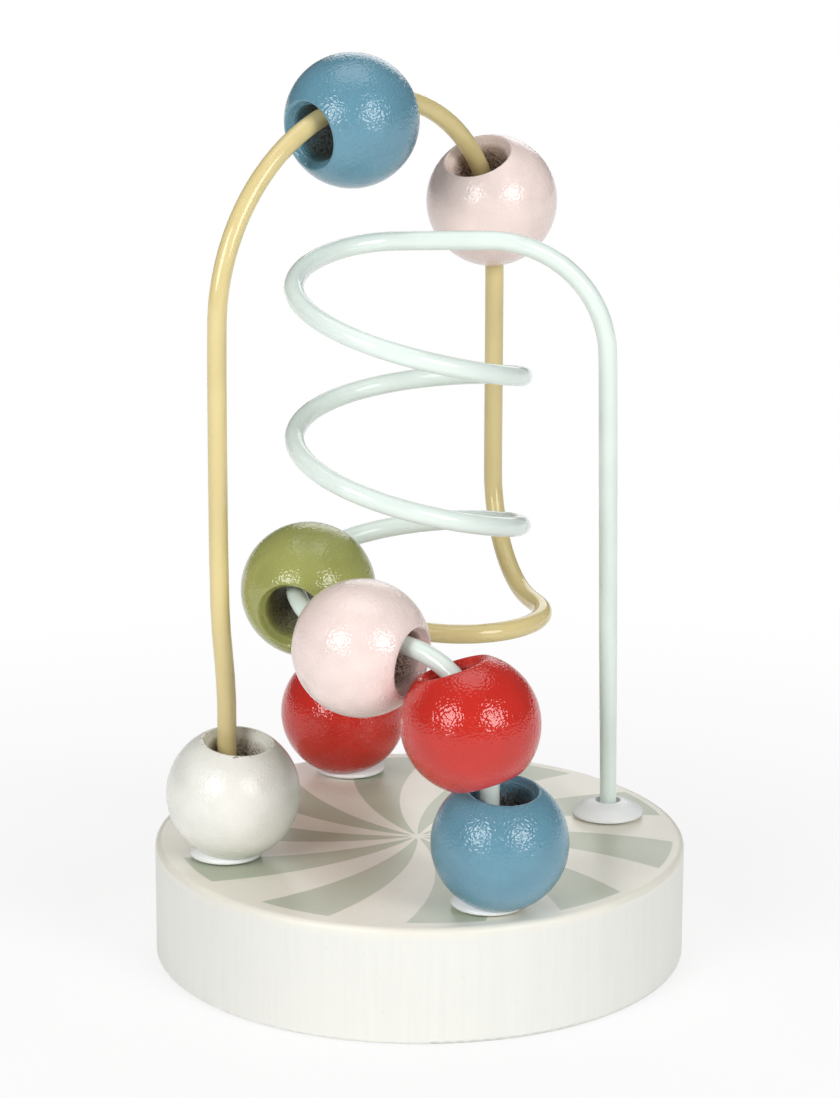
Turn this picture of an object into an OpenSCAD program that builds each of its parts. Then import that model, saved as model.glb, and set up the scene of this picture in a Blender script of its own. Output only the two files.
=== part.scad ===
// Bead maze: eight turned wooden beads threaded on two bent, coated wires that stand in a round
// wooden base. Millimetres. The base stands on z = 0 about the Z axis, and the front faces -Y.

/* [Base] */
// Diameter of the round base
base_d = 100; // [96:1:130]
// Height of the base
base_h = 22; // [18:0.5:30]
// Rounding of the base's top edge
base_top_round = 1.2; // [0.4:0.1:3]
// Rounding of the base's bottom edge
base_foot_round = 0.8; // [0.4:0.1:3]
// Depth of the holes that the wires are glued into
hole_depth = 14; // [8:0.5:16]
// Room for glue around a wire in its hole
glue_room = 0.1; // [0.05:0.05:0.3]

/* [Feet] */
// Distance of the left foot from the base's axis
left_foot_r = 38; // [34:0.5:42]
// Direction of the left foot
left_foot_turn = 198.5; // [190:0.5:205]
// Distance of the front foot from the base's axis
front_foot_r = 40; // [36:0.5:42]
// Direction of the front foot
front_foot_turn = 288; // [280:0.5:295]
// Distance of the right foot from the base's axis
right_foot_r = 38; // [34:0.5:42]
// Direction of the right foot
right_foot_turn = 18; // [10:0.5:25]
// Distance of the back foot from the base's axis
back_foot_r = 40.5; // [36:0.5:42]
// Direction of the back foot
back_foot_turn = 110; // [102:0.5:118]

/* [Caps] */
// Diameter of a cap's flange
cap_d = 13.6; // [12:0.1:16]
// Height of a cap's straight rim
cap_rim = 1; // [0.6:0.1:2]
// Height of a cap's dome above its rim
cap_dome = 2.4; // [1:0.1:3]
// Step between a cap's rim and its dome
cap_step = 0.3; // [0.2:0.1:1]

/* [Wires] */
// Diameter of a coated wire
wire_d = 3.5; // [2.5:0.1:4]
// Height of the arch wire's centreline at its peak
arch_top = 160; // [150:1:175]
// Share of the arch's span that its left bend takes
arch_left_share = 0.55; // [0.45:0.01:0.6]
// Place of the arch wire's drop, to the right of the base's axis
drop_x = 13.9; // [11:0.1:17]
// Place of the arch wire's drop, behind the base's axis
drop_y = 35.8; // [32:0.1:39]
// How far the left leg leans in below its jog
left_lean = 0.6; // [0:0.1:1]
// Sideways jog in the arch wire's left leg
jog = 1.5; // [0.3:0.1:2]
// Height of the jog's lower bend
jog_low = 52.5; // [50:0.5:56]
// Height of the jog's upper bend
jog_high = 69.5; // [66:0.5:80]
// Radius of the jog's two bends
jog_bend_r = 80; // [40:1:100]
// Height of the arch wire's level loop
loop_z = 64; // [60:0.5:68]
// Radius of the level loop
loop_r = 15.5; // [13:0.1:17]
// Place of the loop's centre, to the right of the base's axis
loop_x = 7.5; // [5:0.1:9]
// Place of the loop's centre, behind the base's axis
loop_y = 7.5; // [5:0.1:9]
// Radius of the bend from the drop into the loop
drop_bend_r = 21; // [16:0.5:23]
// Radius of the bend from the loop down to the back foot
back_bend_r = 12; // [10:0.5:16]

/* [Coil] */
// Height of the coil wire's centreline where it enters the coil
coil_top = 134.4; // [128:0.2:140]
// Height of the coil wire's centreline where it leaves the coil
coil_exit_z = 70.2; // [67:0.1:73]
// Radius of the coil
coil_r = 20.6; // [19:0.1:22]
// Whole turns of the coil, before its last part turn
coil_turns = 2; // [1:1:3]
// Place of the coil's axis, to the right of the base's axis
coil_x = -2.4; // [-4:0.1:0]
// Place of the coil's axis, behind the base's axis
coil_y = -12; // [-14:0.1:-10]
// Turn over which the coil's slope eases in and out
coil_ease = 25; // [15:1:60]
// Rise and fall of a turn because the coil leans
coil_sway = 1.35; // [0:0.05:2]
// Direction in which the coil stands highest
coil_sway_turn = 168; // [90:1:270]
// Turn taken by each short bend of the coil, about
coil_step = 30; // [20:1:40]
// How far the right leg leans in at its top
leg_lean = 1.7; // [0:0.1:4]
// Radius of the bend from the right leg into the coil
leg_bend_r = 23; // [18:0.5:26]
// Lean of the front foot towards the front
front_lean = 12; // [6:0.5:14]
// Radius of the bend from the coil into the front foot
front_bend_r = 17.5; // [14:0.5:20]

/* [Beads] */
// Diameter of a bead
bead_d = 25; // [20:0.1:26]
// Diameter of a bead's bore
bore_d = 11; // [9:0.1:12]
// Diameter of the bore's bevelled mouth
mouth_d = 13; // [11:0.1:14]
// Length of the bevel at each mouth
bevel = 1.4; // [0.6:0.1:2.5]
// Room left between a bead and what it hangs on or rests on
rest_room = 0.3; // [0.2:0.05:0.5]
// Lean of the white bead on the left foot
white_lean = 8; // [0:0.2:10]
// Direction in which the white bead leans
white_turn = -54; // [-60:1:-30]
// Lean of the red bead on the back foot
red_back_lean = 7; // [0:0.2:9]
// Direction in which the back red bead leans
red_back_turn = 219; // [200:1:240]
// Lean of the blue bead on the front foot
blue_front_lean = 8; // [7:0.1:12]
// Direction in which the front blue bead leans
blue_front_turn = -70; // [-90:1:-50]
// Place of the blue bead on the left bend of the arch, as a share of the bend
blue_arch_share = 0.9; // [0.6:0.01:0.96]
// Place of the pink bead on the right bend of the arch, as a share of the bend
pink_arch_share = 0.807; // [0.6:0.001:0.9]

/* [Hidden] */
$fn = 72;
overrun = 1;
full_turn = 360;
// bends that are nearer than this follow on from each other
weld = 0.002;
// faces around a wire, and the turn between two rings of a bend
wire_sides = 14;
wire_step = 7.5;
// turn taken by each bend of the level loop, at most
loop_step = 60;
sweep_side = [0.6, 0.8, 0];
up = [0, 0, 1];
cream = "#efeee5";
white = "#e8eae6";
mustard = "#dcc88c";
mint = "#dfe9df";
blue = "#709cad";
pink = "#f0d9d0";
red = "#c43d3a";
green = "#8b8f4c";

function flat(p) = [p.x, p.y];
function unit(v) = v / norm(v);
function polar(r, turn) = [r * cos(turn), r * sin(turn)];
function at_height(p, z) = [p.x, p.y, z];
// turn at which the tangent from p touches the circle of radius r about c
function touch(p, c, r, side) = let (v = p - c) atan2(v.y, v.x) + side * acos(r / norm(v));
function positive(turn) = turn - full_turn * floor(turn / full_turn);
// a wire's path is a list of corners, each [place, bend radius]; its two ends have radius zero
function heading(path, i) = unit(path[i + 1][0] - path[i][0]);
function bend_turn(path, i) = acos(heading(path, i - 1) * heading(path, i));
function bend_reach(path, i) = path[i][1] == 0 ? 0 : path[i][1] * tan(bend_turn(path, i) / 2);
function bend_start(path, i) = bend_reach(path, i) == 0 ? path[i][0]
    : path[i][0] - heading(path, i - 1) * bend_reach(path, i);
function bend_end(path, i) = bend_reach(path, i) == 0 ? path[i][0]
    : path[i][0] + heading(path, i) * bend_reach(path, i);
function bend_inward(path, i) =
    unit(heading(path, i) - heading(path, i - 1) * cos(bend_turn(path, i)));
function bend_centre(path, i) = bend_start(path, i) + bend_inward(path, i) * path[i][1];
// [place, heading] on a bend, a turn past its start
function on_bend(path, i, turn) = let (t = heading(path, i - 1), n = bend_inward(path, i))
    [bend_centre(path, i) + path[i][1] * (t * sin(turn) - n * cos(turn)), t * cos(turn) + n * sin(turn)];
// [place, heading] a distance along a path, counted from the end of bend i
function along(path, run, i) = let (
    straight = norm(bend_start(path, i + 1) - bend_end(path, i)),
    arc = path[i + 1][1] * bend_turn(path, i + 1) * PI / 180)
    run <= straight ? [bend_end(path, i) + heading(path, i) * run, heading(path, i)]
    : run <= straight + arc
        ? on_bend(path, i + 1, (run - straight) / path[i + 1][1] * 180 / PI)
        : along(path, run - straight - arc, i + 1);

left_foot = polar(left_foot_r, left_foot_turn);
front_foot = polar(front_foot_r, front_foot_turn);
right_foot = polar(right_foot_r, right_foot_turn);
back_foot = polar(back_foot_r, back_foot_turn);
hole_d = wire_d + 2 * glue_room;
dome_d = cap_d - 2 * cap_step;
dome_sink = (pow(dome_d / 2, 2) - pow(cap_dome, 2)) / (2 * cap_dome);

// arch wire
drop = [drop_x, drop_y];
loop_c = [loop_x, loop_y];
left_up = unit([left_lean, 0, jog_low - base_h]);
jog_corner = at_height(left_foot, base_h) + left_up * (jog_low - base_h) / left_up.z;
jog_foot = flat(jog_corner) - [jog, 0];
span = norm(drop - jog_foot);
arch_left_r = span * arch_left_share;
arch_right_r = span - arch_left_r;
loop_start = touch(drop, loop_c, loop_r, -1);
loop_end = touch(back_foot, loop_c, loop_r, 1);
loop_sweep = positive(loop_start - loop_end);
loop_bends = ceil(loop_sweep / loop_step);
loop_bend = loop_sweep / loop_bends;
arch_path = concat(
    [[at_height(left_foot, base_h) - left_up * hole_depth, 0],
     [jog_corner, jog_bend_r],
     [at_height(jog_foot, jog_high), jog_bend_r],
     [at_height(jog_foot, arch_top), arch_left_r],
     [at_height(drop, arch_top), arch_right_r],
     [at_height(drop, loop_z), drop_bend_r]],
    [for (i = [0 : loop_bends - 1])
        let (out = polar(loop_r / cos(loop_bend / 2), loop_start - (i + 1 / 2) * loop_bend))
        [at_height(loop_c + out, loop_z), loop_r]],
    [[at_height(back_foot, loop_z), back_bend_r],
     [at_height(back_foot, base_h - hole_depth), 0]]);

// coil wire
coil_c = [coil_x, coil_y];
leg_up = unit([-leg_lean, 0, coil_top - base_h]);
front_up = [0, -sin(front_lean), cos(front_lean)];
leg_corner = at_height(right_foot, base_h) + leg_up * (coil_top - base_h) / leg_up.z;
front_corner = at_height(front_foot, base_h) + front_up * (coil_exit_z - base_h) / front_up.z;
coil_start = touch(flat(leg_corner), coil_c, coil_r, 1);
coil_end = touch(flat(front_corner), coil_c, coil_r, -1);
coil_sweep = positive(coil_end - coil_start) + full_turn * coil_turns;
coil_pitch = (coil_top - coil_exit_z) / (coil_sweep - coil_ease);
coil_bends = ceil(coil_sweep / coil_step);
coil_bend = coil_sweep / coil_bends;
function eased(s) = s < coil_ease ? s * s / (2 * coil_ease)
    : s > coil_sweep - coil_ease ? coil_sweep - coil_ease - pow(coil_sweep - s, 2) / (2 * coil_ease)
    : s - coil_ease / 2;
function sway_part(s) = min(1, s / coil_ease, (coil_sweep - s) / coil_ease);
function coil_z(s) = coil_top - coil_pitch * eased(s)
    + coil_sway * cos(coil_start + s - coil_sway_turn) * sway_part(s);
function coil_at(s, r) = at_height(coil_c + polar(r, coil_start + s), coil_z(s));
coil_corners = concat(
    [front_corner],
    [for (i = [coil_bends - 1 : -1 : 0]) coil_at((i + 1 / 2) * coil_bend, coil_r / cos(coil_bend / 2))],
    [leg_corner]);
// the largest bend that leaves each neighbouring bend its half of the way between two corners
function coil_bend_r(i) = let (
    a = coil_corners[i] - coil_corners[i - 1], b = coil_corners[i + 1] - coil_corners[i],
    room_a = i == 1 ? norm(a) : norm(a) / 2, room_b = i == coil_bends ? norm(b) : norm(b) / 2)
    min(room_a, room_b, coil_r * tan(coil_bend / 2)) / tan(acos(unit(a) * unit(b)) / 2);
coil_path = concat(
    [[at_height(front_foot, base_h) - front_up * hole_depth, 0], [front_corner, front_bend_r]],
    [for (i = [1 : coil_bends]) [coil_corners[i], coil_bend_r(i)]],
    [[leg_corner, leg_bend_r], [at_height(right_foot, base_h) - leg_up * hole_depth, 0]]);

// beads
bead_half = sqrt(pow(bead_d, 2) - pow(mouth_d, 2)) / 2;
hang = (bore_d - wire_d) / 2 - rest_room;
bead_gap = bead_d + rest_room;
// share of the hang by which each bead lies off its wire: to the right and away on the feet,
// to the side and down elsewhere
white_shares = [0.36, -0.3];
red_back_shares = [-0.37, -0.3];
blue_front_shares = [0.56, 0.2];
blue_arch_shares = [0, 0.92];
pink_arch_shares = [0.34, 0.21];
red_front_shares = [-0.36, 0.52];
pink_coil_shares = [-0.26, 0.62];
green_shares = [0.66, 0.61];
// way along the wire from each bead to the next above it, as a share of the gap between bead centres
red_front_share = 1.002;
pink_coil_share = 1.15;
green_share = 1.083;
// lean to the side and down of the beads that bind on their wire
pink_arch_tilt = [-7, -11];
red_front_tilt = [2.7, -3.2];
pink_coil_tilt = [-7.2, -4.6];
green_tilt = [10.4, -0.7];
mouth_step = 6;
// height of a cap, or of the base around it, at a distance from its foot
function cap_top(r) = r > cap_d / 2 ? base_h : r > dome_d / 2 ? base_h + cap_rim
    : base_h + cap_rim - dome_sink + sqrt(pow(dome_sink + cap_dome, 2) - r * r);
// a place on the rim of a leaning bead's lower mouth, from the bead's middle
function mouth_at(lean, turn, k) = mouth_d / 2 * (cos(k) * [-sin(turn), cos(turn), 0]
    + sin(k) * [cos(lean) * cos(turn), cos(lean) * sin(turn), -sin(lean)])
    - leaning(lean, turn) * bead_half;
// height of a bead's middle where its lower mouth rests on a cap, at a place off the cap's foot
function seat_z(off, lean, turn) = rest_room + max([for (k = [0 : mouth_step : full_turn])
    let (p = mouth_at(lean, turn, k)) cap_top(norm(off + flat(p))) - p.z]);
function leaning(lean, turn) = [sin(lean) * cos(turn), sin(lean) * sin(turn), cos(lean)];
function below(t) = unit(t * t.z - up);
function beside(t) = cross(below(t), t);
function hung(at, shares) = at[0] + hang * (beside(at[1]) * shares.x + below(at[1]) * shares.y);
function tilted(t, tilt) = unit(t + beside(t) * tan(tilt.x) + below(t) * tan(tilt.y));
function foot_off(foot_up, shares) = hang * shares + flat(foot_up) * (cap_rim + bead_half) / foot_up.z;
function on_foot(foot, foot_up, lean, turn, shares) = let (off = foot_off(foot_up, shares))
    at_height(foot + off, seat_z(off, lean, turn));

blue_arch_at = on_bend(arch_path, 3, bend_turn(arch_path, 3) * blue_arch_share);
pink_arch_at = on_bend(arch_path, 4, bend_turn(arch_path, 4) * pink_arch_share);
blue_front_off = foot_off(front_up, blue_front_shares);
blue_front_run = hole_depth
    + (seat_z(blue_front_off, blue_front_lean, blue_front_turn) - base_h) / front_up.z;
red_front_run = blue_front_run + bead_gap * red_front_share;
pink_coil_run = red_front_run + bead_gap * pink_coil_share;
green_run = pink_coil_run + bead_gap * green_share;
red_front_at = along(coil_path, red_front_run, 0);
pink_coil_at = along(coil_path, pink_coil_run, 0);
green_at = along(coil_path, green_run, 0);

module pointed(p, v) {
    translate(p) rotate([0, acos(v.z / norm(v)), atan2(v.y, v.x)]) children();
}

// the drilled hole that a wire stands in
module hole(foot, foot_up) {
    pointed(at_height(foot, base_h) - foot_up * hole_depth, foot_up)
        cylinder(h = hole_depth + cap_rim + cap_dome + overrun, d = hole_d);
}

module base_outline() {
    r = base_d / 2;
    translate([0, base_foot_round]) square([r, base_h - base_foot_round - base_top_round]);
    square([r - base_foot_round, base_h / 2]);
    translate([0, base_h / 2]) square([r - base_top_round, base_h / 2]);
    translate([r - base_foot_round, base_foot_round]) circle(r = base_foot_round);
    translate([r - base_top_round, base_h - base_top_round]) circle(r = base_top_round);
}

module base() color(cream) difference() {
    rotate_extrude() base_outline();
    hole(left_foot, left_up);
    hole(front_foot, front_up);
    hole(right_foot, leg_up);
    hole(back_foot, up);
}

module cap(foot, foot_up) color(white) difference() {
    translate(at_height(foot, base_h)) union() {
        cylinder(h = cap_rim, d = cap_d);
        intersection() {
            translate([0, 0, cap_rim - dome_sink]) sphere(r = dome_sink + cap_dome);
            cylinder(h = cap_rim + cap_dome, d = dome_d);
        }
    }
    hole(foot, foot_up);
}

module left_cap() cap(left_foot, left_up);
module front_cap() cap(front_foot, front_up);
module right_cap() cap(right_foot, leg_up);
module back_cap() cap(back_foot, up);

// a round bar swept along a path, in rings that are carried on without twist
module wire(path) {
    last = len(path) - 1;
    stations = concat(
        [[path[0][0], heading(path, 0)]],
        [for (i = [1 : last - 1]) let (
            turn = bend_turn(path, i), steps = ceil(turn / wire_step),
            joined = norm(bend_start(path, i) - bend_end(path, i - 1)) < weld)
            for (k = [joined ? 1 : 0 : steps]) on_bend(path, i, turn * k / steps)],
        [[path[last][0], heading(path, last - 1)]]);
    count = len(stations);
    first_side = unit(cross(stations[0][1], sweep_side));
    sides = [for (i = 0, side = first_side; i < count; i = i + 1, side = i < count
        ? unit(side - stations[i][1] * (side * stations[i][1])) : side) side];
    points = [for (i = [0 : count - 1]) let (t = stations[i][1], side = sides[i])
        for (k = [0 : wire_sides - 1]) let (turn = k * full_turn / wire_sides)
            stations[i][0] + wire_d / 2 * (side * cos(turn) + cross(t, side) * sin(turn))];
    polyhedron(points, concat(
        [[for (k = [0 : wire_sides - 1]) k]],
        [for (i = [0 : count - 2], k = [0 : wire_sides - 1]) let (
            a = i * wire_sides, b = a + wire_sides, next = (k + 1) % wire_sides)
            [a + k, b + k, b + next, a + next]],
        [[for (k = [wire_sides - 1 : -1 : 0]) (count - 1) * wire_sides + k]]));
}

module arch_wire() color(mustard) wire(arch_path);
module coil_wire() color(mint) wire(coil_path);

module bead(c, axis, tint) color(tint) pointed(c, axis) difference() {
    flare = (mouth_d - bore_d) / bevel;
    sphere(d = bead_d);
    cylinder(h = bead_d + overrun, d = bore_d, center = true);
    for (side = [0, 1]) mirror([0, 0, side]) translate([0, 0, bead_half - bevel])
        cylinder(h = bevel + overrun, d1 = bore_d, d2 = mouth_d + flare * overrun);
}

module white_bead() bead(on_foot(left_foot, left_up, white_lean, white_turn, white_shares),
    leaning(white_lean, white_turn), cream);
module red_back_bead() bead(on_foot(back_foot, up, red_back_lean, red_back_turn, red_back_shares),
    leaning(red_back_lean, red_back_turn), red);
module blue_front_bead() bead(
    on_foot(front_foot, front_up, blue_front_lean, blue_front_turn, blue_front_shares),
    leaning(blue_front_lean, blue_front_turn), blue);
module blue_arch_bead() bead(hung(blue_arch_at, blue_arch_shares), blue_arch_at[1], blue);
module pink_arch_bead() bead(hung(pink_arch_at, pink_arch_shares),
    tilted(pink_arch_at[1], pink_arch_tilt), pink);
module red_front_bead() bead(hung(red_front_at, red_front_shares),
    tilted(red_front_at[1], red_front_tilt), red);
module pink_coil_bead() bead(hung(pink_coil_at, pink_coil_shares),
    tilted(pink_coil_at[1], pink_coil_tilt), pink);
module green_bead() bead(hung(green_at, green_shares), tilted(green_at[1], green_tilt), green);

base();
left_cap();
front_cap();
right_cap();
back_cap();
arch_wire();
coil_wire();
white_bead();
blue_arch_bead();
pink_arch_bead();
red_back_bead();
blue_front_bead();
red_front_bead();
pink_coil_bead();
green_bead();
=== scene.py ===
"""A bead maze: a painted round base, two bent wires and eight turned beads, dressed over its CAD frame."""

from math import cos, pi, radians, sin

import bpy
import numpy as np
from bpy.props import FloatProperty, FloatVectorProperty, IntProperty, PointerProperty
from mathutils import Matrix, Vector


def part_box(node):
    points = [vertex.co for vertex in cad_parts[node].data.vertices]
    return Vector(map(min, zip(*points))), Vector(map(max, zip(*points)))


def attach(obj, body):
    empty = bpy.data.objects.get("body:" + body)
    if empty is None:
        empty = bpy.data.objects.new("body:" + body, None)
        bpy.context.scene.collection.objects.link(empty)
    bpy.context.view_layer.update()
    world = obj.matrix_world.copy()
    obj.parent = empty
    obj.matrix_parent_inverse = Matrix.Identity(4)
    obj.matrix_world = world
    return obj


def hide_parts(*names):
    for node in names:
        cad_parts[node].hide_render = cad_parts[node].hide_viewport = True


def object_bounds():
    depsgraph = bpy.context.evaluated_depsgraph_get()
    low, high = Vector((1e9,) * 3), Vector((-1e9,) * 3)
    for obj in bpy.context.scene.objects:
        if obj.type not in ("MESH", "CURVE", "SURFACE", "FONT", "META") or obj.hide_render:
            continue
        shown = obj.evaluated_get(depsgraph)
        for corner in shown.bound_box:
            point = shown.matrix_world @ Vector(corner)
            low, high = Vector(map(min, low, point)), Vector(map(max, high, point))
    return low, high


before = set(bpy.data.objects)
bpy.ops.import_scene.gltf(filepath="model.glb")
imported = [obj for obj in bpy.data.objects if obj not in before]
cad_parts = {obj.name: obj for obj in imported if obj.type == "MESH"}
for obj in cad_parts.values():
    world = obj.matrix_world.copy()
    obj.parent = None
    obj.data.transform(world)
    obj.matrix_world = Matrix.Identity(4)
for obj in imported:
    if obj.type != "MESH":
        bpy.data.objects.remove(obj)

bl_info = {
    "name": "Bead Maze",
    "version": (1, 0, 0),
    "blender": (4, 5, 0),
    "location": "View3D > Sidebar > Bead Maze",
    "description": "Dresses a wooden bead maze: base, caps, wires and beads",
    "category": "Add Mesh",
}

CAD_BOX = [list(corner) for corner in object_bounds()]
CAD_TOP_OF_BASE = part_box("base")[1][2]
MM = 0.001

# Heights closer than TOUCH are one height, and an edge flatter than LEVEL is level.
TOUCH = 1e-5
LEVEL = 1e-6

BEADS = {
    "white_bead": "cream",
    "red_back_bead": "red",
    "blue_front_bead": "blue",
    "blue_arch_bead": "blue",
    "pink_arch_bead": "pink",
    "red_front_bead": "red",
    "pink_coil_bead": "pink",
    "green_bead": "olive",
}
# Each paint: chipped share of a mouth's edge, share of the bare wood's tone kept down the bore (lower is
# darker painted shade in the bore), height of orange peel, roughness.
COATS = {
    "cream": {"chips": 0.7, "shaded_bore_tone": 1.0, "peel_height": 0.08 * MM, "satin": 0.26},
    "pink": {"chips": 0.15, "shaded_bore_tone": 0.8, "peel_height": 0.08 * MM, "satin": 0.14},
    "blue": {"chips": 0.1, "shaded_bore_tone": 0.4, "peel_height": 0.12 * MM, "satin": 0.075},
    "red": {"chips": 0.1, "shaded_bore_tone": 0.5, "peel_height": 0.1 * MM, "satin": 0.075},
    "olive": {"chips": 0.1, "shaded_bore_tone": 0.5, "peel_height": 0.09 * MM, "satin": 0.075},
}
# How far below a mouth the slope into the bore ends, for each unit that the bore is narrower.
MOUTH_SLOPE = 1.4
BORE_RINGS = 10
RIM_STEPS = 3
# Points of a bead or a wire that are closer than this are one point.
BEAD_WELD = 0.001 * MM
WIRE_WELD = 0.01 * MM
# Facets of a wire that meet at less than the crease are one round surface.
WIRE_CREASE = radians(50)
WIRE_SKEW = radians(60)

CAPS = ("left_cap", "front_cap", "right_cap", "back_cap")
# Rings of a cap's dome: share of the flange's radius, and share of the rise above the rim.
DOME = ((0.955, 0.14), (0.86, 0.38), (0.72, 0.64), (0.54, 0.86), (0.37, 0.985))
CAP_SIDES = 48
# Lip round a cap's hole as a share of the last ring, and the hole's depth as a share of the cap's height.
CAP_LIP = 0.06
CAP_HOLE = 0.55
# Points this near a cap's top lie round its hole.
LIP_BAND = 0.1 * MM

# Where the printed wedges meet, from the base's middle.
SWIRL_X, SWIRL_Y = -0.4 * MM, -0.8 * MM
SPECK = (120, 112, 98)

# Each lamp: place, width of its disc and power.
LAMPS = {
    "left_box": ((-0.55, -0.72, 0.47), 0.52, 4.9),
    "right_box": ((0.58, -0.70, 0.46), 0.52, 4.7),
    "top_box": ((0, 0.1, 1.1), 0.9, 3.3),
    "back_box": ((0.1, 1.0, 0.45), 0.6, 1.5),
}
LAMP_AIM = (0, 0, 0.07)
FILL_LIGHT = 0.12
FLOOR_R = 3
FLOOR_SIDES = 64
FLOOR_DROP = 0.2 * MM
# The floor shows this share of plain white under the object, and is all white from the second distance on.
FLOOR_WHITE = 0.76
FLOOR_SHADE = (0.05, 0.26)
SENSOR_WIDTH = 36


def linear(red, green, blue):
    """A colour given in 0 to 255, as the shader takes it."""
    shares = (red / 255, green / 255, blue / 255)
    return tuple(c / 12.92 if c <= 0.04045 else ((c + 0.055) / 1.055) ** 2.4 for c in shares)


def tinted(tone, share):
    """A lighter or darker tone."""
    return tuple(min(1, c * share) for c in tone)


def colour(name, words, rgb):
    return FloatVectorProperty(
        name=name, description=words, subtype="COLOR", size=3, min=0, max=1, default=linear(*rgb)
    )


def length(name, words, mm):
    return FloatProperty(
        name=name, description=words, unit="LENGTH", subtype="DISTANCE", default=mm * MM, precision=5
    )


def angle(name, words, degrees):
    return FloatProperty(name=name, description=words, subtype="ANGLE", default=radians(degrees))


def factor(name, words, share):
    return FloatProperty(name=name, description=words, subtype="FACTOR", default=share, min=0, max=1)


def count(name, words, number, least, most):
    return IntProperty(name=name, description=words, default=number, min=least, max=most)


class BeadMazeBeads(bpy.types.PropertyGroup):
    cream: colour("Cream", "Paint of the cream bead", (238, 237, 229))
    blue: colour("Blue", "Paint of the blue beads", (102, 149, 169))
    pink: colour("Pink", "Paint of the pink beads", (243, 223, 217))
    red: colour("Red", "Paint of the red beads", (198, 45, 35))
    olive: colour("Olive", "Paint of the olive bead", (160, 163, 94))
    wood: colour("Bare wood", "Wood inside a bore", (166, 142, 116))
    rim_round: length("Rim round", "Rounding of a bore's mouth", 0.45)
    build_up: length("Build-up", "Thickness of the paint inside a bore", 0.2)
    sides: count("Sides", "Faces round a bead before smoothing", 48, 24, 96)


class BeadMazeWires(bpy.types.PropertyGroup):
    mustard: colour("Mustard", "Coating of the arch wire", (225, 207, 149))
    mint: colour("Mint", "Coating of the coil wire", (229, 241, 234))
    swell: length("Swell", "Coating that smoothing a wire takes off and this puts back", 0.085)


class BeadMazeBase(bpy.types.PropertyGroup):
    paint: colour("Paint", "Cream paint of the base", (235, 235, 229))
    # The top's cream is warmer than the sides' paint and also lighter, which is painted sheen on the top.
    top: colour("Top", "Cream paint of the top", (243, 240, 227))
    sage: colour("Sage", "Printed wedges on the top", (196, 203, 182))
    cap: colour("Caps", "Plastic of the caps", (251, 253, 253))
    rim_share: factor("Cap rim", "Share of a cap's height that is its straight rim", 0.32)
    wedges: count("Wedges", "Printed wedges on the top", 10, 3, 24)
    twist: angle("Twist", "How far a wedge's edge turns from the middle to the print's rim", 21.5)
    start: angle("Start", "Where the first wedge starts", 0.6)
    wedge_share: factor("Wedge share", "Printed share of each wedge's pitch", 0.52)
    print_r: length("Print radius", "Radius of the print", 46.8)
    print_off: length("Print offset", "How far the print sits off the middle, to the right", 1.0)
    eye_r: length("Eye radius", "Bare disc where the wedges meet", 1.5)


class BeadMazeStage(bpy.types.PropertyGroup):
    eye: FloatVectorProperty(
        name="Eye", description="Place of the camera", subtype="TRANSLATION", unit="LENGTH",
        default=(-0.00018, -0.67564, 0.26116),
    )
    pitch: angle("Pitch", "How far the camera looks down", 15.16)
    roll: angle("Roll", "How far the camera leans", 0.25)
    lens: FloatProperty(name="Lens", description="Focal length in millimetres", default=123.67)
    floor: colour("Floor", "Floor and backdrop", (255, 255, 255))


class Value:
    """A number on a surface: sums and products of values become Math nodes."""

    def __init__(self, finish, socket):
        self.finish = finish
        self.socket = socket

    def math(self, operation, *others):
        return self.finish.math(operation, self, *others)

    def __add__(self, other): return self.math("ADD", other)
    def __radd__(self, other): return self.finish.math("ADD", other, self)
    def __sub__(self, other): return self.math("SUBTRACT", other)
    def __rsub__(self, other): return self.finish.math("SUBTRACT", other, self)
    def __mul__(self, other): return self.math("MULTIPLY", other)
    def __rmul__(self, other): return self.finish.math("MULTIPLY", other, self)
    def __pow__(self, other): return self.math("POWER", other)
    def __mod__(self, other): return self.math("FLOORED_MODULO", other)
    def __abs__(self): return self.math("ABSOLUTE")

    def root(self): return self.math("SQRT")

    def between(self, low, high):
        """0 below low, 1 above high and a soft step from one to the other."""
        values = {"Value": self, "From Min": low, "From Max": high}
        node = self.finish.add("ShaderNodeMapRange", {"interpolation_type": "SMOOTHSTEP"}, values)
        return Value(self.finish, node.outputs["Result"])


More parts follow.
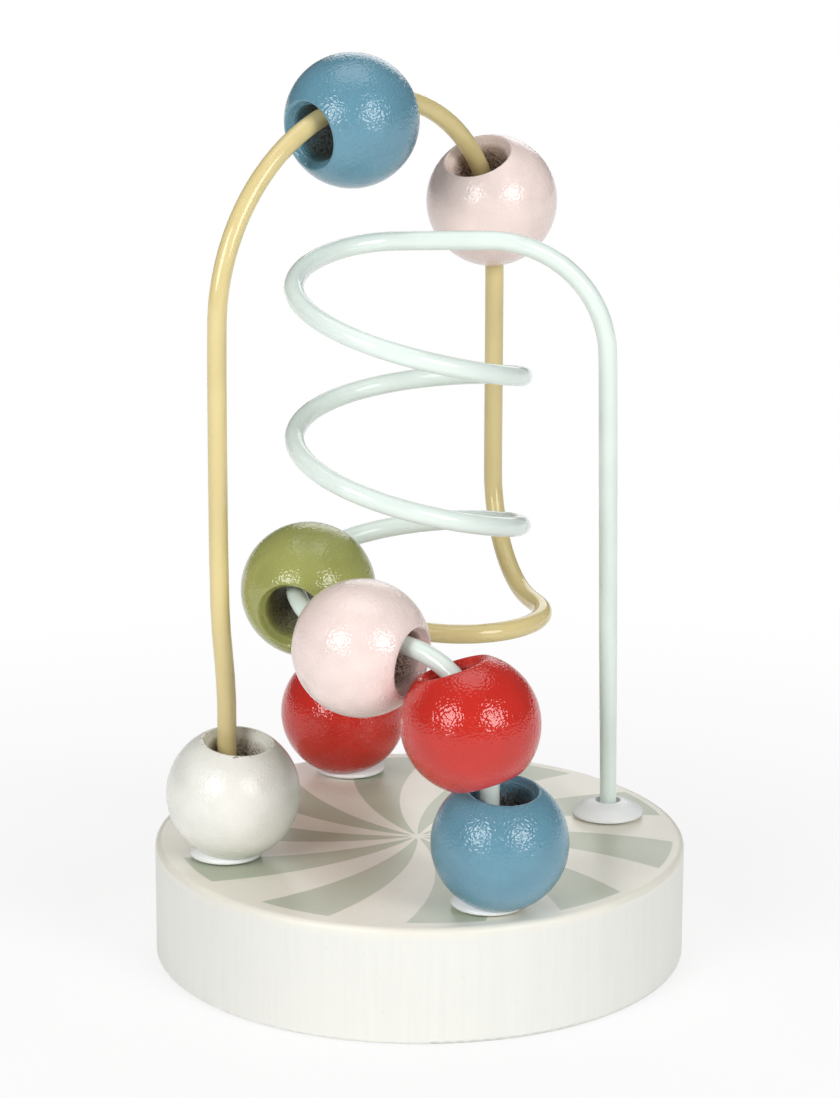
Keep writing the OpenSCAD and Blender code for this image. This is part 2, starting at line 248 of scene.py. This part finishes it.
class Finish:
    """A material being made: its nodes are added by type, and its shader is the Principled one."""

    def __init__(self, name, **constants):
        self.material = bpy.data.materials.new(name)
        self.material.use_nodes = True
        self.tree = self.material.node_tree
        self.tree.nodes.clear()
        self.shader = self.add("ShaderNodeBsdfPrincipled", {}, {})
        self.set(**constants)
        self.out = self.add("ShaderNodeOutputMaterial", {}, {"Surface": self.shader.outputs[0]})

    def add(self, kind, settings, values):
        """A node of this type, with its settings and then the values or links of its sockets."""
        node = self.tree.nodes.new(kind)
        for key, setting in settings.items():
            setattr(node, key, setting)
        for key, value in values.items():
            self.put(node.inputs[key], value)
        return node

    def put(self, socket, value):
        if isinstance(value, Value):
            value = value.socket
        if isinstance(value, bpy.types.NodeSocket):
            self.tree.links.new(value, socket)
        elif socket.type == "RGBA" and len(value) == 3:
            socket.default_value = (*value, 1)
        else:
            socket.default_value = value

    def set(self, **values):
        for key, value in values.items():
            self.put(self.shader.inputs[key.replace("_", " ")], value)

    def math(self, operation, *numbers):
        node = self.add("ShaderNodeMath", {"operation": operation}, dict(enumerate(numbers)))
        return Value(self, node.outputs[0])

    def place(self):
        return self.add("ShaderNodeTexCoord", {}, {}).outputs["Object"]

    def held(self, name):
        """A vector kept on the piece's own mesh."""
        return self.add("ShaderNodeAttribute", {"attribute_name": name}, {}).outputs["Vector"]

    def split(self, vector):
        node = self.add("ShaderNodeSeparateXYZ", {}, {0: vector})
        return [Value(self, out) for out in node.outputs]

    def stretched(self, vector, scale):
        return self.add("ShaderNodeMapping", {}, {"Vector": vector, "Scale": scale}).outputs[0]

    def noise(self, vector, scale, detail=2.0, roughness=0.5):
        values = {"Vector": vector, "Scale": scale, "Detail": detail, "Roughness": roughness}
        return Value(self, self.add("ShaderNodeTexNoise", {}, values).outputs["Fac"])

    def blend(self, share, first, second):
        """A colour that goes from first to second."""
        node = self.add("ShaderNodeMix", {"data_type": "RGBA"}, {"Factor": share, 6: first, 7: second})
        return node.outputs[2]

    def clouded(self, patch, tone, dark, light=1.0):
        """A tone that drifts from light to dark with the patch."""
        return self.blend(patch.between(0.3, 0.7), tinted(tone, light), tinted(tone, dark))

    def bumps(self, *heights):
        """Heights in metres, as one normal."""
        total = sum(heights[1:], heights[0])
        node = self.add("ShaderNodeBump", {}, {"Height": total, "Distance": 1.0, "Strength": 1.0})
        self.set(Normal=node.outputs[0])


def bead_paint(name, paint, props, bore_r, half, chips, shaded_bore_tone, peel_height, satin):
    """Sprayed paint on a turned bead: orange peel outside, then overspray and bare wood down the bore, the
    wood darkened there by painted shade.

    Places on the bead are in millimetres from its middle, Z along the bore. Depth counts from the mouth.
    """
    f = Finish(name, IOR=1.54)
    turned = f.held("turned")
    x, y, z = f.split(turned)
    out = (x * x + y * y).root()
    depth = half / MM - abs(z)
    bore_mm, bore_edge = bore_r / MM, 0.2
    ragged, bare_from, bare_to = 5.0, 1.2, 4.4
    mist_from, mist_to = 7.0, 14.0

    peel = f.noise(turned, 2.3, detail=0.0)
    swell = f.noise(turned, 0.8, detail=1.0)
    grain = f.noise(f.stretched(turned, (0.3, 0.3, 2.4)), 1.0, detail=3.0, roughness=0.6)
    patch = f.noise(turned, 0.16)
    fleck = f.noise(f.stretched(turned, (2.0, 2.0, 1.4)), 1.0, detail=4.0, roughness=0.65)
    spray = f.noise(turned, 2.4, roughness=0.6)
    nick = f.noise(turned, 1.3, detail=3.0)

    in_bore = 1 - out.between(bore_mm, bore_mm + bore_edge)
    bare = in_bore * (depth + (fleck - 0.5) * ragged).between(bare_from, bare_to)
    at_mouth = depth.between(-0.6, -0.1) * (1 - depth.between(0.3, 0.7))
    chipped = at_mouth * nick.between(0.6, 0.66) * chips
    misted = spray.between(0.43, 0.56) * (1 - depth.between(mist_from, mist_to))

    painted = f.clouded(patch, paint, dark=0.95, light=1.03)
    # Bare wood mottled between a dark and a light tone, both scaled down for the darker paints as painted
    # shade in the bore.
    wood = f.blend(fleck.between(0.36, 0.62), tinted(props.wood, 0.3 * shaded_bore_tone), tinted(props.wood, shaded_bore_tone))
    mist = tuple(0.65 * p + 0.2 * w for p, w in zip(paint, props.wood))
    worn = f.blend(chipped, painted, tinted(props.wood, 0.6))
    f.set(Base_Color=f.blend(bare, worn, f.blend(misted, wood, mist)))
    f.set(Roughness=satin + (patch - 0.5) * 0.04 + (grain - 0.5) * 0.06 + in_bore * 0.35)
    f.bumps(peel * peel_height, swell * (0.05 * MM), grain * (0.008 * MM), fleck * in_bore * (0.12 * MM))
    return f.material


def wire_coat(name, coat):
    """A dipped coating on wire: even, with a soft gloss and a little sag in it."""
    f = Finish(name, IOR=1.5)
    where = f.place()
    patch = f.noise(where, 60)
    sag = f.noise(where, 220, detail=1.0)
    f.set(Base_Color=f.clouded(patch, coat, dark=0.95, light=1.03))
    f.set(Roughness=0.12 + (patch - 0.5) * 0.06)
    f.bumps(sag * (0.03 * MM))
    return f.material


def cap_plastic(name, plastic):
    """Moulded plastic with a faint mould texture."""
    f = Finish(name, IOR=1.5)
    where = f.place()
    fine = f.noise(where, 1400)
    patch = f.noise(where, 140)
    f.set(Base_Color=f.blend(patch.between(0.3, 0.75), plastic, tinted(plastic, 0.93)))
    f.set(Roughness=0.3 + (fine - 0.5) * 0.16)
    f.bumps(fine * (0.012 * MM))
    return f.material


def base_paint(name, props):
    """Cream paint over upright grain, with a swirl of sage wedges printed on the top, whose cream is
    lighter than the sides' as painted sheen.
    """
    f = Finish(name, IOR=1.5)
    where = f.place()
    x, y, z = f.split(where)
    flat = CAD_TOP_OF_BASE - 0.1 * MM
    on_top = z.between(CAD_TOP_OF_BASE - 0.3 * MM, flat)
    # From the crown up, the sides' paint gives way to the top's lighter cream, which is painted sheen.
    crown_sheen = z.between(CAD_TOP_OF_BASE - 2.6 * MM, flat)

    streak = f.noise(f.stretched(where, (900, 900, 40)), 1.0, detail=3.0, roughness=0.6)
    patch = f.noise(where, 45, detail=3.0)
    fine = f.noise(where, 1100)
    speck = f.noise(where, 1300, roughness=0.6).between(0.7, 0.78)
    wobble = (f.noise(where, 700) - 0.5) * 0.006

    pitch = 2 * pi / props.wedges
    wedge_end = props.wedge_share * pitch
    wedge_soft = 0.012
    print_soft = 0.2 * MM
    turn = f.math("ARCTAN2", y - SWIRL_Y, x - SWIRL_X)
    bend = (x * x + y * y).root() * (props.twist / props.print_r)
    swirl = (turn + bend + wobble - props.start) % pitch
    wedge = swirl.between(0, wedge_soft) * (1 - swirl.between(wedge_end - wedge_soft, wedge_end))
    reach = ((x - props.print_off) ** 2 + y * y).root()
    inside = 1 - reach.between(props.print_r - print_soft, props.print_r + print_soft)
    eye = ((x - SWIRL_X) ** 2 + (y - SWIRL_Y) ** 2).root()
    printed = wedge * inside * eye.between(props.eye_r * 0.6, props.eye_r * 1.4) * on_top

    side = f.blend(streak.between(0.3, 0.75), props.paint, tinted(props.paint, 0.975))
    # The top's cream here carries painted sheen; the sides keep the plain paint.
    cream = f.blend(crown_sheen, side, f.clouded(patch, props.top, dark=0.95))
    coloured = f.blend(printed, cream, f.clouded(patch, props.sage, dark=0.92))
    f.set(Base_Color=f.blend(speck * (0.12 + on_top * 0.3), coloured, linear(*SPECK)))
    f.set(Roughness=0.42 + (patch - 0.5) * 0.12 - on_top * 0.08)
    f.bumps(streak * (0.045 * MM), fine * (0.02 * MM))
    return f.material


def flat_white(name, tone):
    """A floor that shows white, with a soft shadow near what stands on it."""
    f = Finish(name, Roughness=1.0)
    f.set(Base_Color=tone)
    x, y, _ = f.split(f.place())
    rays = f.add("ShaderNodeLightPath", {}, {}).outputs
    camera, glossy, through = (
        Value(f, rays[kind]) for kind in ("Is Camera Ray", "Is Glossy Ray", "Is Transmission Ray")
    )
    away = (x * x + y * y).root().between(*FLOOR_SHADE)
    share = (FLOOR_WHITE + (1 - FLOOR_WHITE) * away) * (camera + glossy + through)
    glow = f.add("ShaderNodeEmission", {}, {"Color": tone, "Strength": 1.0})
    both = f.add("ShaderNodeMixShader", {}, {0: share, 1: f.shader.outputs[0], 2: glow.outputs[0]})
    f.put(f.out.inputs["Surface"], both.outputs[0])
    return f.material


def alone(obj):
    """Nothing but this object is selected."""
    bpy.ops.object.select_all(action="DESELECT")
    obj.select_set(True)
    bpy.context.view_layer.objects.active = obj


def editing(obj):
    """Edit mode on this object, with all of its mesh selected."""
    alone(obj)
    bpy.ops.object.mode_set(mode="EDIT")
    bpy.ops.mesh.select_all(action="SELECT")


def done():
    bpy.ops.object.mode_set(mode="OBJECT")


def pick(obj, mode, test):
    """Selects the edges or faces that pass the test, and stays in edit mode."""
    bpy.ops.object.mode_set(mode="OBJECT")
    mesh = obj.data
    for group in (mesh.vertices, mesh.edges, mesh.polygons):
        group.foreach_set("select", [False] * len(group))
    if mode == "EDGE":
        for e in mesh.edges:
            e.select = bool(test(*(mesh.vertices[v].co for v in e.vertices)))
    else:
        for p in mesh.polygons:
            p.select = bool(test(p.center, p.normal))
    bpy.ops.object.mode_set(mode="EDIT")
    bpy.ops.mesh.select_mode(type=mode)


def smoothed(obj, levels):
    """Subdivides a mesh smoothly, for good."""
    alone(obj)
    mod = obj.modifiers.new("Round", "SUBSURF")
    mod.levels = mod.render_levels = levels
    bpy.ops.object.modifier_apply(modifier=mod.name)


def corners(node):
    """A CAD node's vertices in metres, and its triangles."""
    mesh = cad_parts[node].data
    points = np.empty(len(mesh.vertices) * 3)
    mesh.vertices.foreach_get("co", points)
    mesh.calc_loop_triangles()
    faces = np.empty(len(mesh.loop_triangles) * 3, dtype=np.int32)
    mesh.loop_triangles.foreach_get("vertices", faces)
    return points.reshape(-1, 3), faces.reshape(-1, 3)


def turned_axis(node):
    """Middle, axis, radius, bore's radius and half height of a turned CAD node.

    Its surface spreads alike in all directions but the axis.
    """
    points, faces = corners(node)
    a, b, c = (points[faces[:, i]] for i in range(3))
    area = np.linalg.norm(np.cross(b - a, c - a), axis=1)
    middle = ((a + b + c) / 3 * area[:, None]).sum(0) / area.sum()
    a, b, c = a - middle, b - middle, c - middle
    squares = ((p[:, :, None] * p[:, None, :] * area[:, None, None]).sum(0) for p in (a, b, c, a + b + c))
    sizes, ways = np.linalg.eigh(sum(squares) / area.sum())
    odd = 0 if sizes[1] - sizes[0] > sizes[2] - sizes[1] else 2
    axis = ways[:, odd]
    away = points - middle
    along = away @ axis
    out = np.linalg.norm(away - along[:, None] * axis, axis=1)
    return Vector(middle), Vector(axis), np.linalg.norm(away, axis=1).max(), out.min(), along.max()


def copied(source, name):
    """A copy with its own mesh and no material."""
    obj = bpy.data.objects.new(name, source.data.copy())
    bpy.context.collection.objects.link(obj)
    obj.data.materials.clear()
    return obj


class BEADMAZE_OT_base(bpy.types.Operator):
    """Paints the round base and prints the swirl on its top"""

    bl_idname = "beadmaze.base"
    bl_label = "Base"

    def execute(self, context):
        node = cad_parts["base"]
        node.data.materials.clear()
        node.data.materials.append(base_paint("painted_base", context.scene.bead_maze_base))
        return {"FINISHED"}


class BEADMAZE_OT_caps(bpy.types.Operator):
    """Moulds one rounded cap for each wire's foot"""

    bl_idname = "beadmaze.caps"
    bl_label = "Caps"

    def mould(self, node, props):
        """A disc whose top is inset and raised ring by ring into a dome, with a hole for the wire."""
        low, high = (Vector(corner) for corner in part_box(node))
        points = corners(node)[0]
        lip = points[points[:, 2] > high.z - LIP_BAND].mean(0)
        middle_x, middle_y = (low.x + high.x) / 2, (low.y + high.y) / 2
        rise, flange_r = high.z - low.z, (high.x - low.x) / 2
        rim = rise * props.rim_share
        bpy.ops.object.select_all(action="DESELECT")
        bpy.ops.mesh.primitive_cylinder_add(
            vertices=CAP_SIDES, radius=flange_r, depth=rim, location=(middle_x, middle_y, low.z + rim / 2)
        )
        cap = bpy.context.object
        bpy.ops.object.transform_apply(location=True)
        top, reach = low.z + rim, flange_r
        pick(cap, "FACE", lambda c, n: n.z > 0.9 and c.z > top - TOUCH)
        for share, height in DOME:
            bpy.ops.mesh.inset(thickness=reach - flange_r * share, use_even_offset=False)
            raised = low.z + rim + (rise - rim) * height
            bpy.ops.transform.translate(value=(0, 0, raised - top))
            top, reach = raised, flange_r * share
        bpy.ops.transform.translate(value=(lip[0] - middle_x, lip[1] - middle_y, 0))
        bpy.ops.mesh.inset(thickness=reach * CAP_LIP, use_even_offset=False)
        bpy.ops.mesh.extrude_region_move(TRANSFORM_OT_translate={"value": (0, 0, -rise * CAP_HOLE)})
        done()
        smoothed(cap, 2)
        bpy.ops.object.shade_smooth()
        cap.name = node + "_moulded"
        return cap

    def execute(self, context):
        props = context.scene.bead_maze_base
        plastic = cap_plastic("cap_plastic", props.cap)
        for name in CAPS:
            cap = self.mould(name, props)
            cap.data.materials.append(plastic)
            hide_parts(name)
            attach(cap, "stand")
        return {"FINISHED"}


class BEADMAZE_OT_wires(bpy.types.Operator):
    """Rounds the two bent wires and coats them"""

    bl_idname = "beadmaze.wires"
    bl_label = "Wires"

    def execute(self, context):
        props = context.scene.bead_maze_wires
        for node, coat in (("arch_wire", props.mustard), ("coil_wire", props.mint)):
            wire = copied(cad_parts[node], node + "_coated")
            editing(wire)
            bpy.ops.mesh.remove_doubles(threshold=WIRE_WELD)
            bpy.ops.mesh.tris_convert_to_quads(face_threshold=WIRE_CREASE, shape_threshold=WIRE_SKEW)
            done()
            smoothed(wire, 1)
            editing(wire)
            bpy.ops.transform.shrink_fatten(value=props.swell)
            done()
            bpy.ops.object.shade_smooth_by_angle(angle=WIRE_CREASE)
            wire.data.materials.append(wire_coat(node + "_coat", coat))
            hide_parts(node)
            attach(wire, "stand")
        return {"FINISHED"}


class BEADMAZE_OT_beads(bpy.types.Operator):
    """Turns one bead, then threads a painted copy at each bead's place"""

    bl_idname = "beadmaze.beads"
    bl_label = "Beads"

    def turn(self, props):
        """One bead round the Z axis: a ball cut flat at its poles, bored through, with a rolled mouth."""
        _, _, ball_r, bore_r, half = turned_axis("white_bead")
        bore_r -= props.build_up
        mouth_r = (ball_r**2 - half**2) ** 0.5
        deep = half - (mouth_r - bore_r) * MOUTH_SLOPE

        def ring(a, b, height):
            return abs(a.z - b.z) < LEVEL and abs(abs(a.z) - height) < TOUCH

        def bore_ring(a, b):
            return ring(a, b, deep) and a.xy.length < bore_r + TOUCH

        bpy.ops.object.select_all(action="DESELECT")
        bpy.ops.mesh.primitive_uv_sphere_add(
            segments=props.sides, ring_count=props.sides // 2, radius=ball_r
        )
        bead = bpy.context.object
        editing(bead)
        for side in (1, -1):
            bpy.ops.mesh.select_all(action="SELECT")
            bpy.ops.mesh.bisect(plane_co=(0, 0, half * side), plane_no=(0, 0, side), clear_outer=True)
        for side in (1, -1):
            pole = half * side
            pick(bead, "EDGE", lambda a, b: abs(a.z - pole) < TOUCH and abs(b.z - pole) < TOUCH)
            bpy.ops.mesh.extrude_edges_move()
            bpy.ops.transform.resize(value=(bore_r / mouth_r, bore_r / mouth_r, 1))
            bpy.ops.transform.translate(value=(0, 0, (deep - half) * side))
        pick(bead, "EDGE", bore_ring)
        bpy.ops.mesh.bridge_edge_loops(number_cuts=BORE_RINGS)
        for rim in (lambda a, b: ring(a, b, half), bore_ring):
            pick(bead, "EDGE", rim)
            bpy.ops.mesh.bevel(offset=props.rim_round, segments=RIM_STEPS, profile=0.5)
        bpy.ops.mesh.select_all(action="SELECT")
        bpy.ops.mesh.remove_doubles(threshold=BEAD_WELD)
        bpy.ops.mesh.normals_make_consistent(inside=False)
        done()
        smoothed(bead, 1)
        bpy.ops.object.shade_smooth()
        held = bead.data.attributes.new("turned", "FLOAT_VECTOR", "POINT")
        held.data.foreach_set("vector", [c / MM for v in bead.data.vertices for c in v.co])
        return bead

    def execute(self, context):
        props = context.scene.bead_maze_beads
        pattern = self.turn(props)
        for node, paint in BEADS.items():
            bead = copied(pattern, node + "_painted")
            middle, axis, _, bore_r, half = turned_axis(node)
            turn = axis.to_track_quat("Z", "Y").to_matrix().to_4x4()
            bead.data.transform(Matrix.Translation(middle) @ turn)
            name = paint + "_paint"
            if name not in bpy.data.materials:
                bead_paint(name, getattr(props, paint), props, bore_r, half, **COATS[paint])
            bead.data.materials.append(bpy.data.materials[name])
            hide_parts(node)
            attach(bead, node)
        bpy.data.objects.remove(pattern)
        return {"FINISHED"}


class BEADMAZE_OT_stage(bpy.types.Operator):
    """Sets the floor, the lamps and the camera"""

    bl_idname = "beadmaze.stage"
    bl_label = "Stage"

    def lay_floor(self, props):
        bpy.ops.object.select_all(action="DESELECT")
        bpy.ops.mesh.primitive_circle_add(
            vertices=FLOOR_SIDES, radius=FLOOR_R, fill_type="NGON",
            location=(0, 0, CAD_BOX[0][2] - FLOOR_DROP),
        )
        floor = bpy.context.object
        floor.name = "floor"
        floor.data.materials.append(flat_white("floor_white", props.floor))

    def light(self, context):
        world = bpy.data.worlds.new("studio")
        context.scene.world = world
        world.use_nodes = True
        fill = world.node_tree.nodes["Background"]
        fill.inputs["Color"].default_value = (1, 1, 1, 1)
        fill.inputs["Strength"].default_value = FILL_LIGHT
        for name, (place, size, power) in LAMPS.items():
            data = bpy.data.lights.new(name, "AREA")
            data.shape, data.size, data.energy = "DISK", size, power
            lamp = bpy.data.objects.new(name, data)
            context.collection.objects.link(lamp)
            lamp.location = place
            lamp.rotation_euler = (Vector(LAMP_AIM) - Vector(place)).to_track_quat("-Z", "Y").to_euler()

    def aim_camera(self, context, props):
        camera = bpy.data.cameras.new("photo_view")
        camera.sensor_fit = "AUTO"
        camera.sensor_width = SENSOR_WIDTH
        camera.lens = props.lens
        eye = bpy.data.objects.new("photo_view", camera)
        context.collection.objects.link(eye)
        forward = Vector((0, cos(props.pitch), -sin(props.pitch)))
        right = Matrix.Rotation(-props.roll, 3, forward) @ Vector((1, 0, 0))
        up = right.cross(forward)
        turn = Matrix((right, up, -forward)).transposed().to_4x4()
        eye.matrix_world = Matrix.Translation(props.eye) @ turn
        context.scene.camera = eye

    def execute(self, context):
        props = context.scene.bead_maze_stage
        context.scene.view_settings.view_transform = "Standard"
        self.lay_floor(props)
        self.light(context)
        self.aim_camera(context, props)
        return {"FINISHED"}


class BEADMAZE_PT_panel(bpy.types.Panel):
    """Lists each group's sizes and colours over the buttons that use them"""

    bl_idname = "BEADMAZE_PT_panel"
    bl_label = "Bead Maze"
    bl_space_type = "VIEW_3D"
    bl_region_type = "UI"
    bl_category = "Bead Maze"

    def draw(self, context):
        for group, operators in (
            ("bead_maze_base", ("beadmaze.base", "beadmaze.caps")),
            ("bead_maze_wires", ("beadmaze.wires",)),
            ("bead_maze_beads", ("beadmaze.beads",)),
            ("bead_maze_stage", ("beadmaze.stage",)),
        ):
            box = self.layout.box()
            props = getattr(context.scene, group)
            for key in props.__annotations__:
                box.prop(props, key)
            for name in operators:
                box.operator(name)


GROUPS = {
    "bead_maze_base": BeadMazeBase,
    "bead_maze_wires": BeadMazeWires,
    "bead_maze_beads": BeadMazeBeads,
    "bead_maze_stage": BeadMazeStage,
}
OPERATORS = (BEADMAZE_OT_base, BEADMAZE_OT_caps, BEADMAZE_OT_wires, BEADMAZE_OT_beads, BEADMAZE_OT_stage)
CLASSES = (*GROUPS.values(), *OPERATORS, BEADMAZE_PT_panel)


def register():
    for cls in CLASSES:
        bpy.utils.register_class(cls)
    for name, group in GROUPS.items():
        setattr(bpy.types.Scene, name, PointerProperty(type=group))


def unregister():
    for name in GROUPS:
        delattr(bpy.types.Scene, name)
    for cls in reversed(CLASSES):
        bpy.utils.unregister_class(cls)


def main():
    register()
    bpy.ops.beadmaze.base()
    bpy.ops.beadmaze.caps()
    bpy.ops.beadmaze.wires()
    bpy.ops.beadmaze.beads()
    bpy.ops.beadmaze.stage()


if __name__ == "__main__":
    main()
